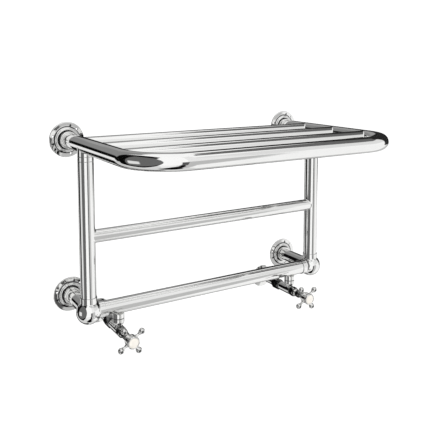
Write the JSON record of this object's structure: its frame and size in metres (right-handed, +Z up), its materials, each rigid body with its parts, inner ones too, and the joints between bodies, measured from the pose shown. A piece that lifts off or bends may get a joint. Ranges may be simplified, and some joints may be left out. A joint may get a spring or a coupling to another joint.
{
  "type": "wall-hung heated towel rail with shelf",
  "caption": "Wall-hung chrome towel rail: a tube shelf on two posts with towel bars, ball corners, stepped wall flanges, and crosshead angle valves with porcelain buttons.",
  "frame": {"origin": "on the wall plane, midway between the posts, level with the lower bar's axis", "axes": "+X along the bars, -Y out from the wall towards the room, +Z up"},
  "size_m": [0.776, 0.4929, 0.5465],
  "materials": {
    "rail_chrome": "polished chrome plate on brass tube",
    "flange_chrome": "polished chrome plate on turned brass",
    "valve_chrome": "polished chrome plate on hot-pressed brass",
    "handle_chrome": "polished chrome plate on cast brass",
    "porcelain": "ivory-white glazed porcelain",
    "plain_brass": "plain turned brass",
    "screw_steel": "plain steel",
    "seal_rubber": "black EPDM"
  },
  "bodies": {
    "rail": {"shelf_frame": "rail_chrome", "shelf_bar_rear": "rail_chrome", "shelf_bar_middle": "rail_chrome", "shelf_bar_front": "rail_chrome", "middle_bar": "rail_chrome", "lower_bar": "rail_chrome", "arm_stubs": "rail_chrome", "union_rings": "rail_chrome", "post_left": "rail_chrome", "post_right": "rail_chrome", "corner_ball_left": "rail_chrome", "corner_ball_right": "rail_chrome", "lower_arm_left": "rail_chrome", "lower_arm_right": "rail_chrome", "bar_sockets": "rail_chrome", "tail_collar_left": "rail_chrome", "tail_collar_right": "rail_chrome", "wall_flange_upper_left": "flange_chrome", "wall_flange_upper_right": "flange_chrome", "wall_flange_lower_left": "flange_chrome", "wall_flange_lower_right": "flange_chrome", "flange_boss_upper_left": "flange_chrome", "flange_boss_upper_right": "flange_chrome", "flange_boss_lower_left": "flange_chrome", "flange_boss_lower_right": "flange_chrome", "valve_body_left": "valve_chrome", "valve_body_right": "valve_chrome", "inlet_nut_left": "valve_chrome", "inlet_nut_right": "valve_chrome", "bonnet_left": "valve_chrome", "bonnet_right": "valve_chrome", "gland_nut_left": "valve_chrome", "gland_nut_right": "valve_chrome", "wall_rose_left": "valve_chrome", "wall_rose_right": "valve_chrome", "supply_pipe_left": "valve_chrome", "supply_pipe_right": "valve_chrome", "air_vent_body": "valve_chrome", "post_nipples": "plain_brass", "olives": "plain_brass", "arm_end_plugs": "plain_brass", "boss_grub_screws": "screw_steel", "corner_gaskets": "seal_rubber", "gland_packings": "seal_rubber"},
    "crosshead_left": {"crosshead_left": "handle_chrome", "button_bezel_left": "handle_chrome", "porcelain_button_left": "porcelain", "handle_screw_left": "screw_steel", "spindle_left": "valve_chrome"},
    "jumper_left": {"jumper_left": "plain_brass", "seat_washer_left": "seal_rubber"},
    "crosshead_right": {"crosshead_right": "handle_chrome", "button_bezel_right": "handle_chrome", "porcelain_button_right": "porcelain", "handle_screw_right": "screw_steel", "spindle_right": "valve_chrome"},
    "jumper_right": {"jumper_right": "plain_brass", "seat_washer_right": "seal_rubber"},
    "vent_pin": {"air_vent_pin": "plain_brass"}
  },
  "joints": [
    {"name": "handle_left_turn", "type": "hinge", "parent": "rail", "child": "crosshead_left", "pos_m": [-0.267, -0.2, -0.061], "axis": [0, -1, 0], "range_deg": [0, 765]},
    {"name": "jumper_left_lift", "type": "slide", "parent": "rail", "child": "jumper_left", "axis": [0, -1, 0], "range_m": [0, 0.00426]},
    {"name": "handle_right_turn", "type": "hinge", "parent": "rail", "child": "crosshead_right", "pos_m": [0.267, -0.2, -0.061], "axis": [0, -1, 0], "range_deg": [0, 765]},
    {"name": "jumper_right_lift", "type": "slide", "parent": "rail", "child": "jumper_right", "axis": [0, -1, 0], "range_m": [0, 0.00426]},
    {"name": "vent_pin_turn", "type": "hinge", "parent": "rail", "child": "vent_pin", "pos_m": [0.343, -0.062, 0.38], "axis": [0, 0, -1], "range_deg": [0, 450]}
  ],
  "couplings": [
    {"joint": "jumper_left_lift", "follows": "handle_left_turn", "m_per_rad": 0.00031831},
    {"joint": "jumper_right_lift", "follows": "handle_right_turn", "m_per_rad": 0.00031831}
  ]
}
